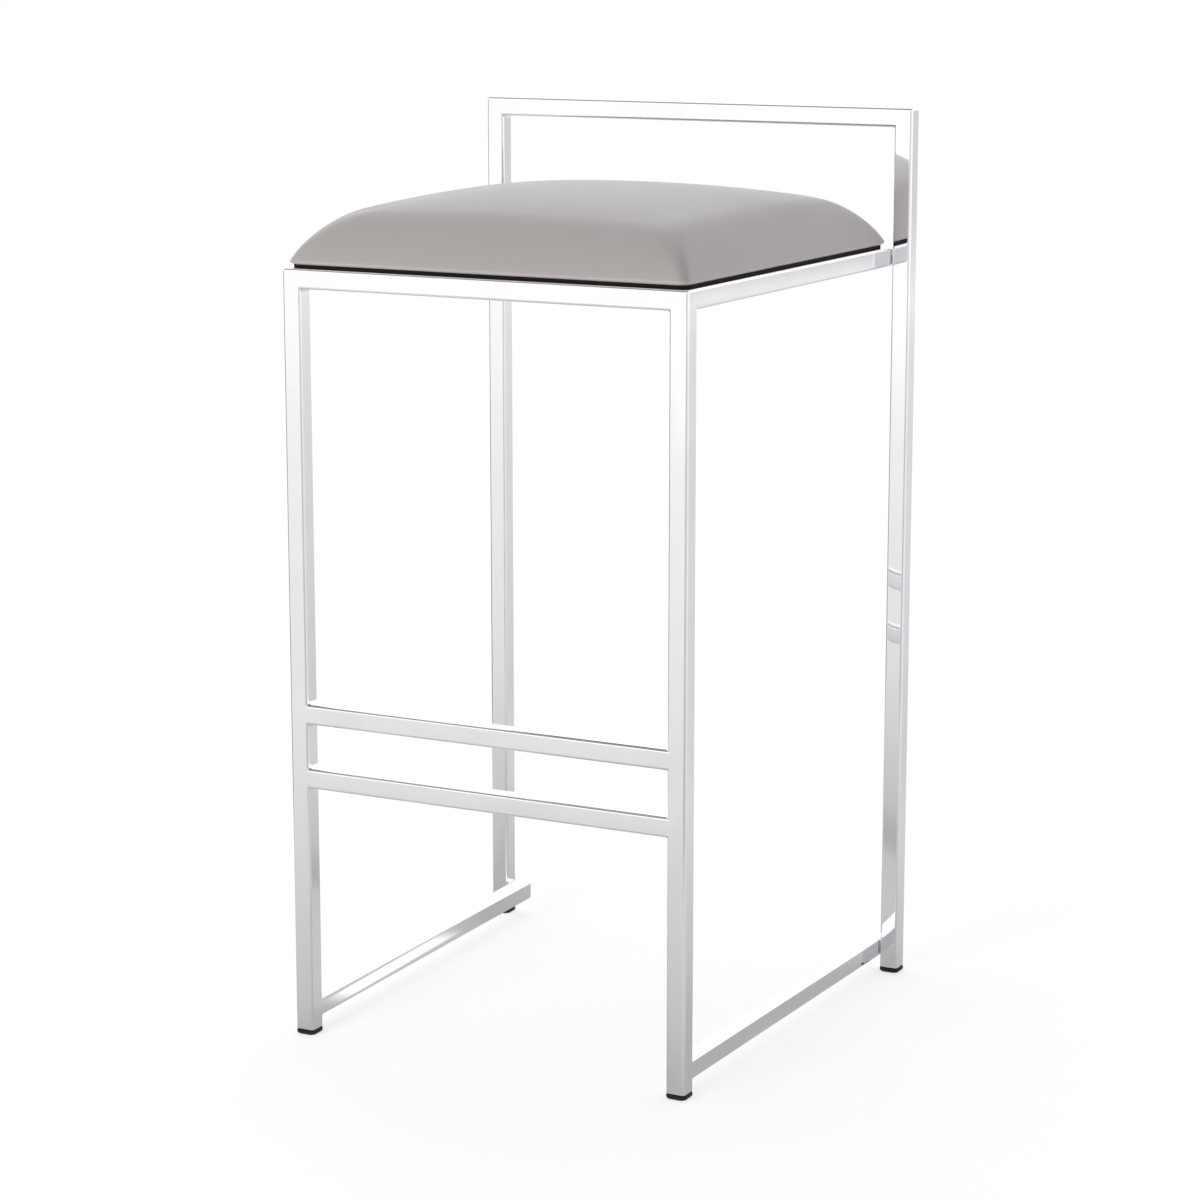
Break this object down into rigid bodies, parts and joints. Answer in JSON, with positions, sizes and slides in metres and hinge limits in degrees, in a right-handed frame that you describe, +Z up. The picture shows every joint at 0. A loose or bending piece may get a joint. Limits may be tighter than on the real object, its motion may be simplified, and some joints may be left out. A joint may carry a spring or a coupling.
{
  "type": "counter stool",
  "caption": "Tall stool for sitting at a bar or counter: polished square-tube frame with foot rails, floor rails and a low back rail, black glides and a crowned grey padded seat.",
  "frame": {"origin": "on the floor, under the middle of the frame", "axes": "+Z up, the front of the stool faces -Y, +X to the right as seen from the front"},
  "size_m": [0.4478, 0.4332, 0.828],
  "materials": {
    "polished_steel": "mirror polished",
    "zinc_steel": "zinc plated, satin",
    "black_plastic": "moulded, satin",
    "black_rubber": "matt",
    "grey_vinyl": "smooth upholstery vinyl with a fine grain, semi-matt",
    "seat_foam": "open foam",
    "plywood": "unvarnished",
    "black_cloth": "non-woven cloth"
  },
  "bodies": {
    "root": {"front_left_leg": "polished_steel", "front_right_leg": "polished_steel", "rear_left_post": "polished_steel", "rear_right_post": "polished_steel", "back_rail": "polished_steel", "front_seat_rail": "polished_steel", "rear_seat_rail": "polished_steel", "left_seat_rail": "polished_steel", "right_seat_rail": "polished_steel", "upper_foot_rail": "polished_steel", "lower_foot_rail": "polished_steel", "left_floor_rail": "polished_steel", "right_floor_rail": "polished_steel", "front_left_leg_cap": "polished_steel", "front_right_leg_cap": "polished_steel", "left_seat_rail_end_cap": "polished_steel", "right_seat_rail_end_cap": "polished_steel", "left_floor_rail_end_cap": "polished_steel", "right_floor_rail_end_cap": "polished_steel", "front_left_corner_plate": "polished_steel", "front_right_corner_plate": "polished_steel", "rear_left_corner_plate": "polished_steel", "rear_right_corner_plate": "polished_steel", "front_left_glide": "black_plastic", "front_right_glide": "black_plastic", "rear_left_glide": "black_plastic", "rear_right_glide": "black_plastic", "front_left_seat_screw": "zinc_steel", "front_right_seat_screw": "zinc_steel", "rear_left_seat_screw": "zinc_steel", "rear_right_seat_screw": "zinc_steel", "front_left_washer": "zinc_steel", "front_right_washer": "zinc_steel", "rear_left_washer": "zinc_steel", "rear_right_washer": "zinc_steel", "front_left_tee_nut": "zinc_steel", "front_right_tee_nut": "zinc_steel", "rear_left_tee_nut": "zinc_steel", "rear_right_tee_nut": "zinc_steel", "front_left_spacer": "black_rubber", "front_right_spacer": "black_rubber", "rear_left_spacer": "black_rubber", "rear_right_spacer": "black_rubber", "seat_board": "plywood", "seat_foam": "seat_foam", "seat_cover": "grey_vinyl", "dust_cover": "black_cloth"}
  },
  "joints": []
}
